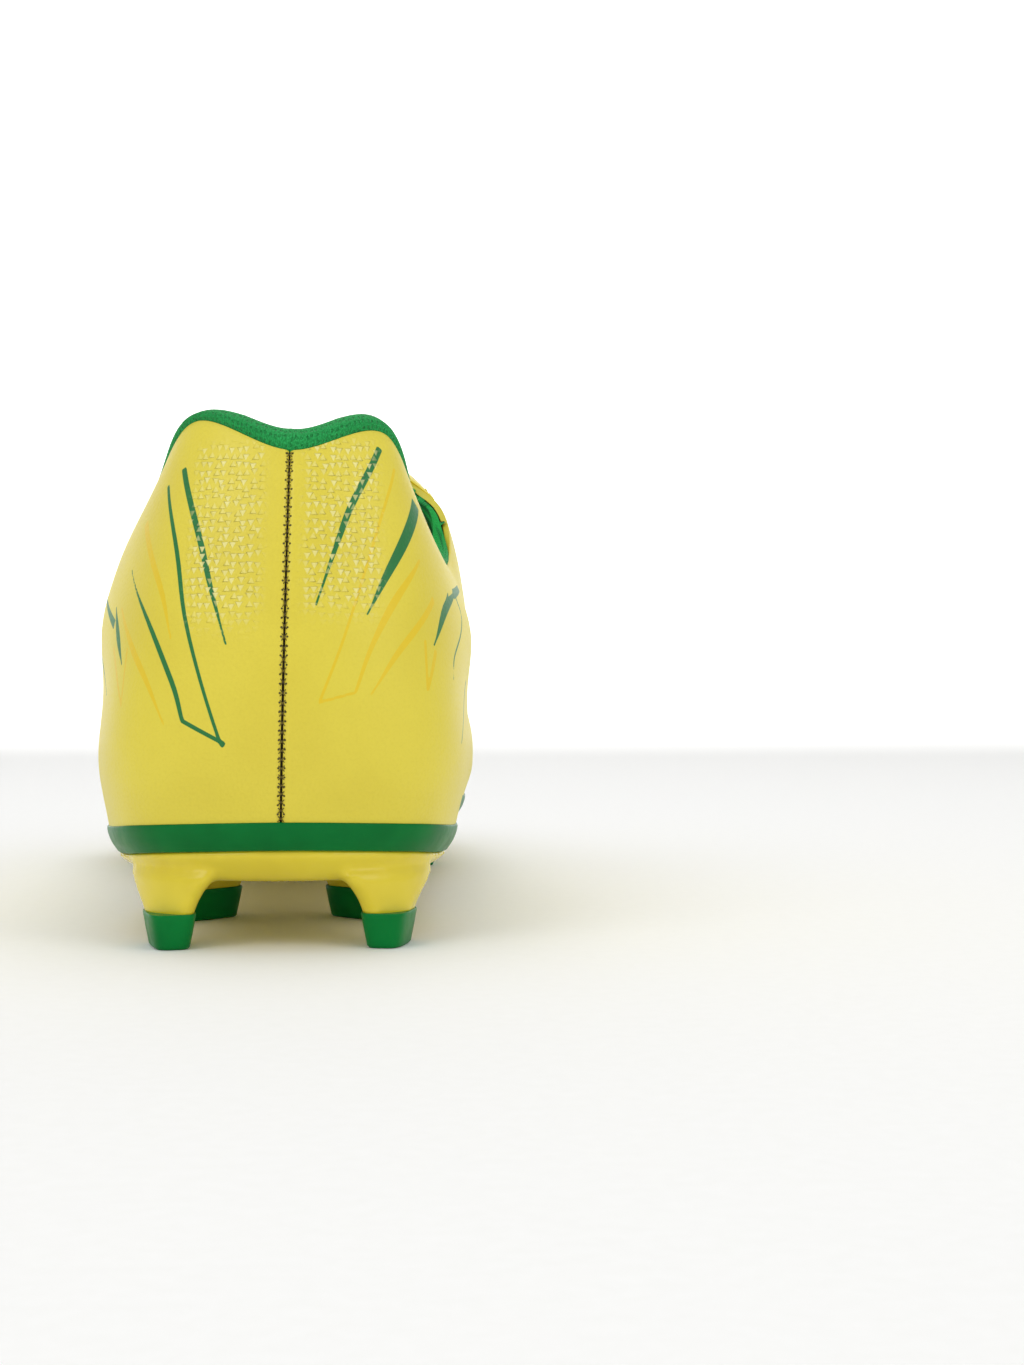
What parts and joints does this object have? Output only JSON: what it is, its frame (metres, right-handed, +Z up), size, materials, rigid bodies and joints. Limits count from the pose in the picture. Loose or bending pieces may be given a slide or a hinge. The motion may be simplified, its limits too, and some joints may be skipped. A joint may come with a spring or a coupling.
{
  "type": "soccer cleat",
  "caption": "Left low-cut football boot for firm ground: coated synthetic upper, contrast sole band, knit collar and moulded plate with bladed studs.",
  "frame": {"origin": "under the middle of the boot's bounding box, on the ground that the studs stand on", "axes": "+Y points to the toe, +Z up, +X to the inner (medial) side of the left foot"},
  "size_m": [0.095, 0.2798, 0.1002],
  "materials": {
    "yellow_upper": "coated synthetic, semi-gloss, printed green and amber strokes",
    "yellow_sole": "moulded thermoplastic, glossy",
    "green_plastic": "moulded thermoplastic, glossy",
    "green_knit": "knitted lining",
    "green_lace": "flat woven lace",
    "foam": "open-cell padding",
    "stiffener": "non-woven stiffener",
    "board": "fibre insole board",
    "aglet": "clear-coated tip"
  },
  "bodies": {
    "boot": {"outsole": "yellow_sole", "stud_tip_heel_rear_medial": "green_plastic", "stud_tip_heel_front_medial": "green_plastic", "stud_tip_fore_rear_medial": "green_plastic", "stud_tip_fore_ball_medial": "green_plastic", "stud_tip_fore_toe_medial": "green_plastic", "stud_tip_fore_tip_medial": "green_plastic", "stud_tip_heel_rear_lateral": "green_plastic", "stud_tip_heel_front_lateral": "green_plastic", "stud_tip_fore_rear_lateral": "green_plastic", "stud_tip_fore_ball_lateral": "green_plastic", "stud_tip_fore_toe_lateral": "green_plastic", "stud_tip_fore_tip_lateral": "green_plastic", "sole_band": "green_plastic", "insole_board": "board", "sock_liner": "green_knit", "vamp": "yellow_upper", "quarter_medial": "yellow_upper", "eyestay_medial": "yellow_upper", "quarter_lateral": "yellow_upper", "eyestay_lateral": "yellow_upper", "heel_counter": "stiffener", "toe_puff": "stiffener", "collar_foam": "foam", "collar_lining": "green_knit", "vamp_lining": "green_knit", "lace": "green_lace", "aglet_lower": "aglet", "aglet_upper": "aglet"},
    "tongue": {"tongue_shell": "yellow_upper", "tongue_foam": "foam", "tongue_lining": "green_knit"}
  },
  "joints": [
    {"name": "tongue_hinge", "type": "hinge", "parent": "boot", "child": "tongue", "pos_m": [0.0045, 0.0155, 0.06], "axis": [1, 0, 0], "range_deg": [0, 18], "stiffness_Nm_per_rad": 0.12, "springref_deg": -5.73}
  ]
}
